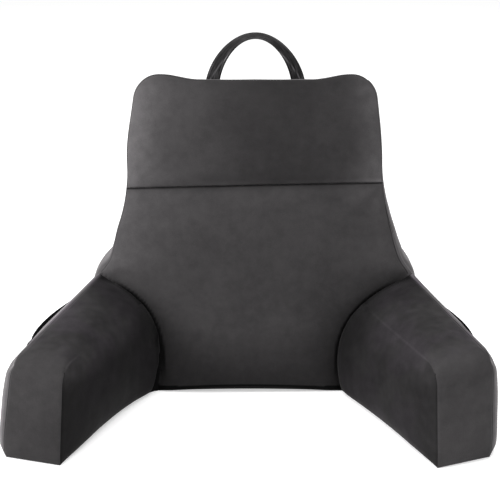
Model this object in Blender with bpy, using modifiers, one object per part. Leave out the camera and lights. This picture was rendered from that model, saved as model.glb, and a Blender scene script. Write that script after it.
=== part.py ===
"""A reading pillow that stands on its own foot: a cushion that leans back, with a head section sewn off
across it, two filled arms that reach forward and outward from its lower part, a carrying handle behind its
top edge and an open cloth pocket on the outer side of each arm.

Metres, +Z up. +X is to the right seen from in front, -Y is the side that a reader leans against.
"""

import functools
import math

import bmesh
import bpy
import numpy as np

# Driving sizes of the back
LEAN = math.radians(16.0)          # how far the back leans from upright
TOP_CORNER_HEIGHT = 0.4968         # the back's front edge at its two top corners
TOP_MIDDLE_HEIGHT = 0.4884         # the same edge sags between them
TOP_CORNER_REACH = 0.80            # share of the half width where the sag ends
TOP_SAG_REACH = 0.48               # and where it is at its full depth
TOP_CORNER_RADIUS = 0.0345
SEAM_HEIGHT = 0.3225               # the sewn line under the head section, at the middle
SEAM_TILT = 0.0045                 # its right end is higher and its left end lower by this
SHOULDER_HEIGHT = 0.186            # where an arm's upper outer edge leaves the back
FRONT_FOOT_Y = -0.0012             # the back's front edge on the floor
REAR_FOOT_Y = 0.1808               # its rear edge there
TOP_THICKNESS = 0.101
REAR_WIDTH_RATIO = 0.97            # the rear panel is a little narrower than the front one
FOOT_ARCH_HEIGHT = 0.0065          # the front edge lifts off the floor by this between the arms
FOOT_ARCH_REACH = 0.52             # share of the half width that the lift covers
FOOT_ARCH_DEPTH = 0.07             # share of the thickness that it covers
LOWER_MIDDLE = (0.0, 0.10, 0.17)   # a place inside the lower section
HEAD_MIDDLE = (0.0, 0.17, 0.40)    # a place inside the head section

# How far each panel stands out past its seams, and over what distance from a seam it rises
FRONT_PUFF, FRONT_ROLL, FRONT_CROWN = 0.0075, 0.024, 0.015
SEAM_ROLL = 0.018
REAR_PUFF = 0.010
SIDE_PUFF, SIDE_ROLL, SIDE_CROWN = 0.0085, 0.017, 0.006
TOP_SHARE = 0.17                   # the top strip stands out by this share of a side panel's puff
ARM_PUFF, ARM_ROLL, ARM_CROWN = 0.0085, 0.030, 0.003
ARM_FRONT_PUFF = 0.0055
ARM_CROWN_ROLL = 0.055             # from the seams at both edges of an arm's top strip
ARM_FRONT_ROLL = 0.090             # from the seam between an arm's inner panel and its front end
ARM_CREASE_DEPTH = 0.25            # the faint seam along an arm's top takes away this share of the puff
ARM_CREASE_ROLL = 0.018
ARM_ROOT_ROLL = 0.050
ARM_SIDE_PUFF, ARM_SIDE_ROLL = 0.0105, 0.026  # of its outer panel
PANEL_CROWN_ROLL = 0.080           # from the top seams of an arm's inner and outer panels
ARM_TO_CROWN = 0.100               # the back's crown rises over this distance from an arm
FOOT_ROLL = 0.014

# The back's seam outline, seen from in front
BACK_OUTLINE = [
    # height, half width, shift of the middle to the right
    (0.000, 0.2440, 0.0000),
    (0.100, 0.2490, 0.0010),
    (0.160, 0.2540, 0.0060),
    (0.186, 0.2542, 0.0092),
    (0.205, 0.2397, 0.0100),
    (0.225, 0.2325, 0.0092),
    (0.250, 0.2258, 0.0082),
    (0.275, 0.2180, 0.0082),
    (0.300, 0.2122, 0.0082),
    (0.330, 0.2082, 0.0078),
    (0.380, 0.2076, 0.0069),
    (0.440, 0.2012, 0.0080),
    (0.500, 0.1925, 0.0090),
]

# How full each side panel is. The filling sits more to the right.
SIDE_SHARES = [
    # height, left side's share of the full puff, right side's share
    (0.000, 1.00, 1.00),
    (0.165, 1.00, 1.00),
    (0.186, 0.65, 0.75),
    (0.220, 0.30, 0.62),
    (0.270, 0.22, 0.55),
    (0.340, 0.18, 0.32),
    (0.420, 0.17, 0.28),
    (0.500, 0.17, 0.28),
]

# The curved seam where an arm meets the back's front: up its inner side, then outward over its top
ARM_ROOT_INNER = [
    # height, distance from the middle
    (0.000, 0.1500),
    (0.020, 0.1452),
    (0.040, 0.1428),
    (0.060, 0.1430),
    (0.080, 0.1462),
    (0.100, 0.1528),
    (0.120, 0.1640),
    (0.138, 0.1795),
]
ARM_ROOT_TOP = [
    # distance from the middle, height
    (0.1795, 0.1380),
    (0.1960, 0.1515),
    (0.2150, 0.1640),
    (0.2350, 0.1750),
    (0.2542, 0.1860),
]

# The arms' front ends before they are rounded. The arms aren't quite alike.
ARM_FRONT_CORNERS = {
    "right": {
        # place: distance from the middle, y, height
        "inner bottom": (0.2695, -0.2738, 0.0),
        "inner top": (0.2630, -0.2652, 0.152),
        "outer top": (0.3500, -0.2332, 0.158),
        "outer bottom": (0.3575, -0.2375, 0.0),
    },
    "left": {
        "inner bottom": (0.2740, -0.2655, 0.0),
        "inner top": (0.2640, -0.2590, 0.151),
        "outer top": (0.3432, -0.2302, 0.149),
        "outer bottom": (0.3645, -0.2375, 0.0),
    },
}
ARM_REACH = 0.29                   # from root to front end
ARM_TALL = 0.157
ARM_ROOT_WIDE, ARM_FRONT_WIDE = 0.110, 0.088
ARM_FOOT_BOW = {
    # how far the inner foot line bows outward, and below 1 it bows most nearer the root
    "right": (0.007, 1.0),
    "left": (0.0195, 0.6),
}
ARM_END_RADIUS = 0.030             # the top strip rolls down over the front end
ARM_EDGE_RADIUS = 0.030            # its inner edge is round half way along
ARM_EDGE_RADIUS_FRONT = 0.007      # and nearly sharp at the front end
ARM_EDGE_START = 0.30              # share of the arm's reach over which the rounding begins
ARM_MIDDLE = (0.26, -0.12, 0.07)   # a place inside the right arm
ARM_FOOT_TUCK = {"left": 0.0055, "right": 0.003}  # its outer side turns in by this at the floor
ARM_TUCK_HEIGHT = 0.035

# The handle is one strap, sewn in at the rear top seam
HANDLE_HALF_SPAN = 0.0736
HANDLE_SHIFT = 0.0092              # its middle is this far to the right
HANDLE_RISE = 0.0848
HANDLE_TAPER = 0.13                # its loop narrows towards the top by this share
HANDLE_WIDTH = 0.026
HANDLE_THICKNESS = 0.003
HANDLE_FOOT_TWIST = math.radians(20.0)  # the strap stands partly on edge where it is sewn in
HANDLE_TOP_TWIST = math.radians(64.0)   # and more so at the top of its loop
HANDLE_TAIL = 0.003                # each end starts this far inside the seam and is cut back to it
HANDLE_STEPS = 40

# Each pocket is one sheet on an arm's outer side, open at its top
POCKET_START, POCKET_END = 0.07, 0.72
POCKET_FOOT, POCKET_MOUTH = 0.14, 0.90
POCKET_THICKNESS = 0.002
POCKET_BULGE = 0.0130
POCKET_FULLEST = 1.25              # above 1 the pocket is fullest nearer its front edge
POCKET_FLATNESS = 0.7              # below 1 its mouth is flatter along than a sine
POCKET_HEM = 0.08                  # share of the sheet that lies flat along its sides and foot

PIECE_GAP = 0.0003
TRIM_DEPTH = 0.0002                # an arm's root is cut back by this, to the back's own surface
CORNER_ALLOWANCE = 1.6             # keeps that gap square to the faces, beside an edge too

# Divisions of the grids
BACK_CUTS = (26, 8, 14)
HEAD_CUTS = (26, 8, 12)
ARM_CUTS = (10, 16, 12)
POCKET_CUTS = (14, 10)
SLOPE_STEP = 0.004
SAME_PLACE = 1e-6

VELOUR = (0.055, 0.052, 0.054)
POCKET_BLACK = (0.012, 0.012, 0.013)

UP_THE_BACK = np.array([0.0, math.sin(LEAN), math.cos(LEAN)])
THROUGH_THE_BACK = np.array([0.0, math.cos(LEAN), -math.sin(LEAN)])
TO_THE_RIGHT = np.array([1.0, 0.0, 0.0])


def table_value(table, place, column=1):
    """Reads a short table along its first column, with a smooth curve through its rows."""
    rows = np.array(table, float)
    keys, values = rows[:, 0], rows[:, column]
    slopes = np.gradient(values, keys)
    place = np.clip(place, keys[0], keys[-1])
    low = np.clip(np.searchsorted(keys, place, side="right") - 1, 0, len(keys) - 2)
    width = keys[low + 1] - keys[low]
    t = (place - keys[low]) / width
    start, end = values[low], values[low + 1]
    lift = 3 * t**2 - 2 * t**3
    ease_in = (t**3 - 2 * t**2 + t) * width * slopes[low]
    ease_out = (t**3 - t**2) * width * slopes[low + 1]
    return start + (end - start) * lift + ease_in + ease_out


def roll(distance, radius):
    """From 0 at a seam to 1 a radius away from it, steep at first and level at the end."""
    return 1 - (1 - np.clip(distance / radius, 0, 1)) ** 2


def smooth_step(value):
    value = np.clip(value, 0, 1)
    return value**2 * (3 - 2 * value)


def blend(start, end, share):
    return start + (end - start) * share


def points(x, y, z):
    return np.stack(np.broadcast_arrays(x, y, z), axis=-1)


def round_corner(front, top, radius):
    """Moves distances from two faces so that the corner between the faces becomes an arc."""
    a = 1 - np.clip(front / radius, 0, 1)
    b = 1 - np.clip(top / radius, 0, 1)
    size = np.maximum(a, b)
    ratio = np.minimum(a, b) / np.maximum(size, SAME_PLACE)
    angle = np.where(a > b, ratio, 2 - ratio) * math.pi / 4
    inside = (a > 0) & (b > 0)
    new_front = np.where(inside, radius * (1 - size * np.cos(angle)), front)
    new_top = np.where(inside, radius * (1 - size * np.sin(angle)), top)
    return new_front, new_top


def outward(base, params, axes, middle):
    """The direction square to a panel, from the slopes of its two grid directions."""
    slopes = []
    for axis in axes:
        low = [param.copy() for param in params]
        high = [param.copy() for param in params]
        low[axis] = np.maximum(low[axis] - SLOPE_STEP, 0.0 if axis else -1.0)
        high[axis] = np.minimum(high[axis] + SLOPE_STEP, 1.0)
        slopes.append(base(*high) - base(*low))
    normal = np.cross(*slopes)
    normal /= np.linalg.norm(normal, axis=1, keepdims=True)
    facing = np.sum(normal * (base(*params) - np.array(middle)), axis=1, keepdims=True)
    return normal * np.where(facing < 0, -1.0, 1.0)


def keep_in_front_plane(moved, place, which):
    """Takes out of a move what leaves the plane of the back's front."""
    slip = (moved - place)[which]
    moved[which] = place[which] + slip - np.outer(slip @ THROUGH_THE_BACK, THROUGH_THE_BACK)


def seam_height(u):
    return SEAM_HEIGHT + SEAM_TILT * u


def top_height(u):
    rise = (np.abs(u) - TOP_SAG_REACH) / (TOP_CORNER_REACH - TOP_SAG_REACH)
    return blend(TOP_MIDDLE_HEIGHT, TOP_CORNER_HEIGHT, smooth_step(rise))


def shift_right(height):
    return table_value(BACK_OUTLINE, height, column=2)


def back_point(u, v, height):
    """u runs from the left seam at -1 to the right one at 1, v from the front panel to the rear one."""
    half = table_value(BACK_OUTLINE, height)
    front_y = FRONT_FOOT_Y + height * math.tan(LEAN)
    share = height / TOP_CORNER_HEIGHT
    rear_top_y = FRONT_FOOT_Y + TOP_CORNER_HEIGHT * math.tan(LEAN) + TOP_THICKNESS * math.cos(LEAN)
    rear_top_z = TOP_CORNER_HEIGHT - TOP_THICKNESS * math.sin(LEAN)
    rear_y = blend(REAR_FOOT_Y, rear_top_y, share)
    x = shift_right(height) + u * half * blend(1.0, REAR_WIDTH_RATIO, v)
    return points(x, blend(front_y, rear_y, v), blend(height, rear_top_z * share, v))


def head_base(u, v, w):
    half = table_value(BACK_OUTLINE, TOP_CORNER_HEIGHT)
    span = top_height(u) - seam_height(u)
    side, top = round_corner((1 - np.abs(u)) * half, (1 - w) * span, TOP_CORNER_RADIUS)
    u = np.sign(u) * (1 - side / half)
    return back_point(u, v, seam_height(u) + span - top)


def foot_lift(u, v, w):
    """The front of the foot lifts a little between the arms."""
    across = np.clip(1 - (u / FOOT_ARCH_REACH) ** 2, 0, 1)
    return FOOT_ARCH_HEIGHT * across * np.clip(1 - v / FOOT_ARCH_DEPTH, 0, 1) ** 2 * (1 - w) ** 4


def lower_base(u, v, w):
    place = back_point(u, v, seam_height(u) * w)
    place[..., 2] += foot_lift(u, v, w)
    return place


def distance_to_root_seam(x, z):
    """How far a place on the back's front is from the curved seam of the nearer arm. Inside it, 0."""
    seam = [(across, height) for height, across in ARM_ROOT_INNER] + ARM_ROOT_TOP[1:]
    x = np.abs(x - shift_right(z))
    nearest = np.full(x.shape, 1.0)
    for (x0, z0), (x1, z1) in zip(seam, seam[1:]):
        along = ((x - x0) * (x1 - x0) + (z - z0) * (z1 - z0)) / ((x1 - x0) ** 2 + (z1 - z0) ** 2)
        along = np.clip(along, 0, 1)
        nearest = np.minimum(nearest, np.hypot(x - blend(x0, x1, along), z - blend(z0, z1, along)))
    across, heights = np.array(seam).T
    inside = (z < SHOULDER_HEIGHT) & (x > np.interp(z, heights, across))
    return np.where(inside, 0.0, nearest)


def front_fullness(u, place, to_seam, to_top, crown_shape):
    to_side = (1 - np.abs(u)) * table_value(BACK_OUTLINE, place[:, 2])
    to_arm = distance_to_root_seam(place[:, 0], place[:, 2])
    edges = roll(to_side, FRONT_ROLL) * roll(to_arm, FRONT_ROLL) * roll(place[:, 2], FOOT_ROLL)
    puff = FRONT_PUFF * edges * roll(to_seam, SEAM_ROLL) * roll(to_top, FRONT_ROLL)
    return puff + FRONT_CROWN * crown_shape * (1 - u**2) * roll(to_arm, ARM_TO_CROWN)


def side_fullness(v, place):
    """How far a side panel stands out. Below the shoulder it runs on into the arm's outer side."""
    share = np.clip(place[:, 2] / TOP_CORNER_HEIGHT, 0, 1)
    thickness = blend(REAR_FOOT_Y - FRONT_FOOT_Y, TOP_THICKNESS, share)
    shoulder_y = FRONT_FOOT_Y + SHOULDER_HEIGHT * math.tan(LEAN)
    to_shoulder = np.hypot(place[:, 1] - shoulder_y, place[:, 2] - SHOULDER_HEIGHT)
    to_front = np.where(place[:, 2] > SHOULDER_HEIGHT, v * thickness, to_shoulder)
    to_rear = (1 - v) * thickness
    puff = SIDE_PUFF * roll(to_front, SIDE_ROLL) * roll(to_rear, SIDE_ROLL)
    crown = SIDE_CROWN * roll(to_front, thickness / 2) * roll(to_rear, thickness / 2)
    return (puff + crown) * roll(place[:, 2], FOOT_ROLL)


def side_share(u, height):
    left, right = (table_value(SIDE_SHARES, height, column) for column in (1, 2))
    return np.where(u < 0, left, right)


def back_surface(base, is_head, middle, u, v, w):
    """A back section's grid points, with each panel filled out from its seams."""
    place = base(u, v, w)
    moved = place.copy()
    height = place[:, 2]
    side, front, rear = np.isclose(np.abs(u), 1), np.isclose(v, 0), np.isclose(v, 1)
    top, foot = np.isclose(w, 1) & is_head, np.isclose(w, 0) & (not is_head)

    def fill(which, axes, amount):
        if which.any():
            params = [param[which] for param in (u, v, w)]
            moved[which] += outward(base, params, axes, middle) * amount[which][:, None]

    head_span = top_height(u) - seam_height(u)
    to_seam = w * head_span if is_head else (1 - w) * seam_height(u)
    to_top = (1 - w) * head_span if is_head else np.full(u.shape, FRONT_ROLL)
    up_the_back = np.clip(height / TOP_MIDDLE_HEIGHT, 0, 1)
    crown_shape = (4 * up_the_back * (1 - up_the_back)) ** 0.7
    panel = ~side & ~top & ~foot
    fill(panel & front, (0, 2), front_fullness(u, place, to_seam, to_top, crown_shape))
    to_side = (1 - np.abs(u)) * table_value(BACK_OUTLINE, height)
    rear_edges = roll(to_side, FRONT_ROLL) * roll(to_top, FRONT_ROLL) * roll(height, FOOT_ROLL)
    fill(panel & rear, (0, 2), REAR_PUFF * rear_edges + FRONT_CROWN * crown_shape * (1 - u**2))
    beside_arm = side & front & (height < SHOULDER_HEIGHT)
    side_full = side_fullness(v, place)
    fill((side & ~front & ~rear & ~foot) | beside_arm, (1, 2), side_full * side_share(u, height))
    keep_in_front_plane(moved, place, beside_arm)
    fill(top & ~side & ~front & ~rear, (0, 1), side_full * TOP_SHARE)
    return moved


def lower_surface(u, v, w):
    to_head = 1 - PIECE_GAP / SEAM_HEIGHT
    return back_surface(lower_base, False, LOWER_MIDDLE, u, v, w * to_head)


def head_surface(u, v, w):
    return back_surface(head_base, True, HEAD_MIDDLE, u, v, w)


def arm_root(across, w):
    """A place on the flat root of the right arm, filled in between the four edges of that root."""
    inner_z = ARM_ROOT_INNER[-1][0] * w
    outer_z = SHOULDER_HEIGHT * w
    x = blend(table_value(ARM_ROOT_INNER, inner_z), table_value(BACK_OUTLINE, outer_z), across)
    top_z = table_value(ARM_ROOT_TOP, blend(ARM_ROOT_TOP[0][0], ARM_ROOT_TOP[-1][0], across))
    straight_top_z = blend(ARM_ROOT_TOP[0][1], SHOULDER_HEIGHT, across)
    z = blend(inner_z, outer_z, across) + (top_z - straight_top_z) * w
    y = FRONT_FOOT_Y + z * math.tan(LEAN) - (PIECE_GAP - TRIM_DEPTH) / math.cos(LEAN)
    return points(x, y, z)


def arm_front(corners, across, w):
    place = {name: np.array(spot) for name, spot in corners.items()}
    bottom = blend(place["inner bottom"], place["outer bottom"], across[..., None])
    top = blend(place["inner top"], place["outer top"], across[..., None])
    return blend(bottom, top, w[..., None])


def arm_base(side, u, t, w):
    """The right arm: u from its inner side to its outer one, t from its root to its front end."""
    wide = blend(ARM_ROOT_WIDE, ARM_FRONT_WIDE, t)
    radius = blend(ARM_EDGE_RADIUS_FRONT, ARM_EDGE_RADIUS, 4 * t * (1 - t)) * smooth_step(t / ARM_EDGE_START)
    inner, top = round_corner((1 + u) / 2 * wide, (1 - w) * ARM_TALL, np.maximum(radius, SAME_PLACE))
    across = inner / wide
    end, top = round_corner((1 - t) * ARM_REACH, top, ARM_END_RADIUS)
    t, w = 1 - end / ARM_REACH, 1 - top / ARM_TALL
    place = blend(arm_root(across, w), arm_front(ARM_FRONT_CORNERS[side], across, w), t[..., None])
    bow, skew = ARM_FOOT_BOW[side]
    place[..., 0] += bow * 4 * t**skew * (1 - t**skew) * (1 - w) * (1 - across)
    return place


def crease(distance):
    """How much of the puff the faint seam along an arm's top takes away."""
    return ARM_CREASE_DEPTH * np.clip(1 - distance / ARM_CREASE_ROLL, 0, 1) ** 2


def arm_surface(side, u, t, w):
    """An arm's grid points, with each panel filled out from its seams."""
    base = functools.partial(arm_base, side)
    place = base(u, t, w)
    moved = place.copy()
    wide = blend(ARM_ROOT_WIDE, ARM_FRONT_WIDE, t)
    to_root, to_front, to_top = t * ARM_REACH, (1 - t) * ARM_REACH, (1 - w) * ARM_TALL
    to_inner, to_outer = (1 + u) / 2 * wide, (1 - u) / 2 * wide
    inner, outer = np.isclose(u, -1), np.isclose(u, 1)
    root, front, top, foot = np.isclose(t, 0), np.isclose(t, 1), np.isclose(w, 1), np.isclose(w, 0)
    at_floor = roll(place[:, 2], FOOT_ROLL)

    def fill(which, axes, amount):
        if which.any():
            params = [param[which] for param in (u, t, w)]
            moved[which] += outward(base, params, axes, ARM_MIDDLE) * amount[which][:, None]

    ends = roll(to_root, ARM_ROLL) * roll(to_front, ARM_FRONT_ROLL)
    inner_full = ARM_PUFF * ends * at_floor * (1 - crease(to_top))
    fill(inner & ~root & ~front & ~foot, (1, 2), inner_full)
    outer_edges = roll(to_front, ARM_SIDE_ROLL) * roll(to_top, ARM_SIDE_ROLL) * at_floor
    outer_full = outer_edges * (ARM_SIDE_PUFF + SIDE_CROWN * roll(to_top, PANEL_CROWN_ROLL))
    fill(outer & ~front & ~top & ~foot, (1, 2), outer_full)
    strip_edges = roll(to_outer, ARM_CROWN_ROLL) * roll(to_root, ARM_ROOT_ROLL) * roll(to_front, ARM_FRONT_ROLL)
    strip_full = ARM_PUFF * (1 - crease(to_inner)) + ARM_CROWN * roll(to_inner, ARM_CROWN_ROLL)
    fill(top & ~inner & ~outer & ~root & ~front, (0, 1), strip_edges * strip_full)
    front_edges = roll(to_inner, ARM_ROLL) * roll(to_outer, ARM_ROLL) * roll(place[:, 2], ARM_ROLL)
    front_full = ARM_FRONT_PUFF * front_edges * roll(to_top, ARM_FRONT_ROLL)
    fill(front & ~inner & ~outer & ~foot & ~top, (0, 2), front_full)
    keep_in_front_plane(moved, place, root)
    low = np.clip(1 - moved[:, 2] / ARM_TUCK_HEIGHT, 0, 1) ** 2
    moved[:, 0] -= ARM_FOOT_TUCK[side] * low * (1 + u) / 2 * smooth_step(2 * t)
    moved[:, 0] *= 1 if side == "right" else -1
    moved[:, 0] += shift_right(moved[:, 2]) * (1 - t)
    return moved


def grid_box(cuts):
    """A cube primitive cut into a grid. Its corners are at -1 and 1."""
    mesh = bmesh.new()
    bmesh.ops.create_cube(mesh, size=2.0)
    for axis, count in enumerate(cuts):
        ends = [(edge, edge.verts[0].co[axis], edge.verts[1].co[axis]) for edge in mesh.edges]
        along = [edge for edge, start, end in ends if abs(start - end) > SAME_PLACE]
        bmesh.ops.subdivide_edges(mesh, edges=along, cuts=count - 1, use_grid_fill=True)
    return mesh


def close_to_ends(grid):
    """Moves even grid lines from -1 to 1 closer together at both ends."""
    return np.sin(grid * math.pi / 2)


def shaped(cuts, surface):
    """A closed mesh on a surface. Its faces are triangles, so that a cut against it follows it exactly."""
    mesh = grid_box(cuts)
    u, v, w = close_to_ends(np.array([vert.co[:] for vert in mesh.verts])).T
    for vert, spot in zip(mesh.verts, surface(u, (v + 1) / 2, (w + 1) / 2)):
        vert.co = spot
    if mesh.calc_volume(signed=True) < 0:
        bmesh.ops.reverse_faces(mesh, faces=mesh.faces)
    bmesh.ops.triangulate(mesh, faces=mesh.faces)
    return mesh


def add_material(name, colour, roughness):
    made = bpy.data.materials.new(name)
    made.use_nodes = True
    shader = made.node_tree.nodes["Principled BSDF"]
    shader.inputs["Base Color"].default_value = (*colour, 1.0)
    shader.inputs["Roughness"].default_value = roughness
    return made


def add_object(name, mesh, material, collection):
    data = bpy.data.meshes.new(name)
    mesh.to_mesh(data)
    mesh.free()
    data.shade_smooth()
    made = bpy.data.objects.new(name, data)
    made.data.materials.append(material)
    collection.objects.link(made)
    return made


def add_clearance(source, collection):
    """A cutter that keeps what lies against a piece clear of it: the piece itself, a little larger."""
    mesh = bmesh.new()
    mesh.from_mesh(source.data)
    mesh.normal_update()
    for vert, normal in [(vert, vert.normal.copy()) for vert in mesh.verts]:
        vert.co += normal * PIECE_GAP * CORNER_ALLOWANCE
    cutter = add_object(source.name + "_clearance", mesh, source.data.materials[0], collection)
    cutter.hide_render = True
    cutter.display_type = "WIRE"
    return cutter


def trim(piece, cutter):
    cut = piece.modifiers.new("seat", "BOOLEAN")
    cut.operation = "DIFFERENCE"
    cut.solver = "EXACT"
    cut.object = cutter


def pocket_place(side, along, up):
    """A place on a pocket's inner face: on the arm's outer side at its hem, and away from it inside."""
    t = blend(POCKET_START, POCKET_END, along)
    w = blend(POCKET_FOOT, POCKET_MOUTH, up)
    outer = np.ones_like(t)
    seat = arm_surface(side, outer, t, w)
    ahead = arm_surface(side, outer, t + SLOPE_STEP, w) - seat
    above = arm_surface(side, outer, t, w + SLOPE_STEP) - seat
    away = np.cross(above, ahead)
    away /= np.linalg.norm(away, axis=1, keepdims=True)
    away *= np.sign(away[:, :1]) * (1 if side == "right" else -1)
    free_along = np.clip((along - POCKET_HEM) / (1 - 2 * POCKET_HEM), 0, 1) ** POCKET_FULLEST
    free_up = np.clip((up - POCKET_HEM) / (1 - POCKET_HEM), 0, 1)
    bulge = POCKET_BULGE * np.sin(math.pi * free_along) ** POCKET_FLATNESS * np.sin(math.pi / 2 * free_up)
    return seat + away * (PIECE_GAP + bulge)[:, None]


def add_pocket(side, material, collection, clearance):
    mesh = bmesh.new()
    columns, rows = POCKET_CUTS
    bmesh.ops.create_grid(mesh, x_segments=columns, y_segments=rows, size=1.0)
    along, up, _ = (np.array([vert.co[:] for vert in mesh.verts]).T + 1) / 2
    for vert, spot in zip(mesh.verts, pocket_place(side, along, up)):
        vert.co = spot
    mesh.normal_update()
    outer_side = 1 if side == "right" else -1
    if sum(face.normal.x for face in mesh.faces) * outer_side < 0:
        bmesh.ops.reverse_faces(mesh, faces=mesh.faces)
    pocket = add_object("pocket_" + side, mesh, material, collection)
    thicken = pocket.modifiers.new("cloth", "SOLIDIFY")
    thicken.thickness = POCKET_THICKNESS
    thicken.offset = 1.0
    trim(pocket, clearance)


def handle_frames():
    """The middle line of the handle's strap with its width and thickness directions, end to end."""
    seam_u = np.array([HANDLE_HALF_SPAN / BACK_OUTLINE[-1][1]])
    root = head_base(seam_u, np.ones(1), np.ones(1))[0]
    root[0] = HANDLE_SHIFT
    reach = TO_THE_RIGHT * HANDLE_HALF_SPAN
    tail = UP_THE_BACK * HANDLE_TAIL
    frames = [(root - reach - tail, -TO_THE_RIGHT, THROUGH_THE_BACK)]
    for turn in np.linspace(0.0, math.pi, HANDLE_STEPS + 1):
        across = math.cos(turn) * (1 - HANDLE_TAPER * math.sin(turn))
        middle = root - reach * across + UP_THE_BACK * HANDLE_RISE * math.sin(turn)
        round_the_loop = UP_THE_BACK * math.sin(turn) - TO_THE_RIGHT * math.cos(turn)
        twist = blend(HANDLE_FOOT_TWIST, HANDLE_TOP_TWIST, abs(math.sin(turn)))
        width = round_the_loop * math.cos(twist) + THROUGH_THE_BACK * math.sin(twist)
        depth = THROUGH_THE_BACK * math.cos(twist) - round_the_loop * math.sin(twist)
        frames.append((middle, width, depth))
    frames.append((root + reach - tail, TO_THE_RIGHT, THROUGH_THE_BACK))
    return frames


def add_handle(material, collection, clearance):
    """A loft of flat strap sections along the loop."""
    mesh = bmesh.new()
    rings = []
    for middle, width, depth in handle_frames():
        across = width * HANDLE_WIDTH / 2
        through = depth * HANDLE_THICKNESS / 2
        spots = (-across - through, across - through, across + through, through - across)
        rings.append([mesh.verts.new(middle + spot) for spot in spots])
    edges = [[mesh.edges.new((ring[i - 1], ring[i])) for i in range(4)] for ring in rings]
    for low, high in zip(edges, edges[1:]):
        bmesh.ops.bridge_loops(mesh, edges=low + high)
    for ring in (rings[0], rings[-1]):
        bmesh.ops.contextual_create(mesh, geom=ring)
    bmesh.ops.recalc_face_normals(mesh, faces=mesh.faces)
    bmesh.ops.triangulate(mesh, faces=mesh.faces)
    trim(add_object("handle_strap", mesh, material, collection), clearance)


def main():
    for old in list(bpy.data.objects):
        bpy.data.objects.remove(old)
    pillow = bpy.data.collections.new("reading_pillow")
    cutters = bpy.data.collections.new("cutters")
    for collection in (pillow, cutters):
        bpy.context.scene.collection.children.link(collection)
    velour = add_material("velour", VELOUR, 0.9)
    black_cloth = add_material("pocket_cloth", POCKET_BLACK, 0.85)
    back = add_object("back_section", shaped(BACK_CUTS, lower_surface), velour, pillow)
    head = add_object("head_section", shaped(HEAD_CUTS, head_surface), velour, pillow)
    back_clearance = add_clearance(back, cutters)
    for side in ("right", "left"):
        mesh = shaped(ARM_CUTS, functools.partial(arm_surface, side))
        arm = add_object("arm_" + side, mesh, velour, pillow)
        trim(arm, back_clearance)
        add_pocket(side, black_cloth, pillow, add_clearance(arm, cutters))
    add_handle(velour, pillow, add_clearance(head, cutters))


main()
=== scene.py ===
"""The looks of a reading pillow: four filled velour cushions sewn into one, a folded and stitched handle
and a black cloth pocket on the outer side of each arm, on a pale floor in soft studio light.

Metres, +Z up. +X is to the right seen from in front, -Y is the side that a reader leans against. The
cushions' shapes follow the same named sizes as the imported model.
"""

import functools
import math

import bpy
import numpy as np
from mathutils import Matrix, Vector, kdtree, noise

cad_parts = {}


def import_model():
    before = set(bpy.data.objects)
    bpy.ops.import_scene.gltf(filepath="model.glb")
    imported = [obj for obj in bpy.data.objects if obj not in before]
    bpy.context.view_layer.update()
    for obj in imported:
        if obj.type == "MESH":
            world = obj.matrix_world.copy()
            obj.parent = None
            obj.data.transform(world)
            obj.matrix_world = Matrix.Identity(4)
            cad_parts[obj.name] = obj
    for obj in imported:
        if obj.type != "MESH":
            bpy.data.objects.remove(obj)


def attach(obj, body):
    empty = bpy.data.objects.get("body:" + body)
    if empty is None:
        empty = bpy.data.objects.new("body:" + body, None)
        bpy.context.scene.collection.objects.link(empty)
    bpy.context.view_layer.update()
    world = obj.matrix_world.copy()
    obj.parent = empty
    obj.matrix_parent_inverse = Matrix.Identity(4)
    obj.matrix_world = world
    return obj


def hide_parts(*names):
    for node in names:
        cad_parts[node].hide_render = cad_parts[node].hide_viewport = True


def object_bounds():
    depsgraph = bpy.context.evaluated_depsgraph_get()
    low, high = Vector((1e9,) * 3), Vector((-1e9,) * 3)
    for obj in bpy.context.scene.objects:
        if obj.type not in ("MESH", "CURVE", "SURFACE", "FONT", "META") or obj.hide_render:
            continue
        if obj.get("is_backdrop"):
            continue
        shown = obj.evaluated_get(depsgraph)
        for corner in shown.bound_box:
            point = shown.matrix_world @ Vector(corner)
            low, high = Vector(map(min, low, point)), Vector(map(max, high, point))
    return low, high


# Driving sizes of the back
LEAN = math.radians(16.0)  # how far the back leans from upright
TOP_CORNER_HEIGHT = 0.4968  # the back's front edge at its two top corners
TOP_MIDDLE_HEIGHT = 0.4884  # the same edge sags between them
TOP_CORNER_REACH = 0.80  # share of the half width where the sag ends
TOP_SAG_REACH = 0.48  # and where it is at its full depth
TOP_CORNER_RADIUS = 0.0345
SEAM_HEIGHT = 0.3232  # the sewn line under the head section, at the middle
SEAM_TILT = 0.0045  # its right end is higher and its left end lower by this
SHOULDER_HEIGHT = 0.186  # where an arm's upper outer edge leaves the back
FRONT_FOOT_Y = -0.0012  # the back's front edge on the floor
REAR_FOOT_Y = 0.1808  # its rear edge there
TOP_THICKNESS = 0.101
REAR_WIDTH_RATIO = 0.97  # the rear panel is a little narrower than the front one
FOOT_ARCH_HEIGHT = 0.0054  # the front edge lifts off the floor by this between the arms
FOOT_ARCH_REACH = 0.52  # share of the half width that the lift covers
FOOT_ARCH_DEPTH = 0.07  # share of the thickness that it covers
LOWER_MIDDLE = (0.0, 0.10, 0.17)  # a place inside the lower section
HEAD_MIDDLE = (0.0, 0.17, 0.40)  # a place inside the head section

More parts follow.
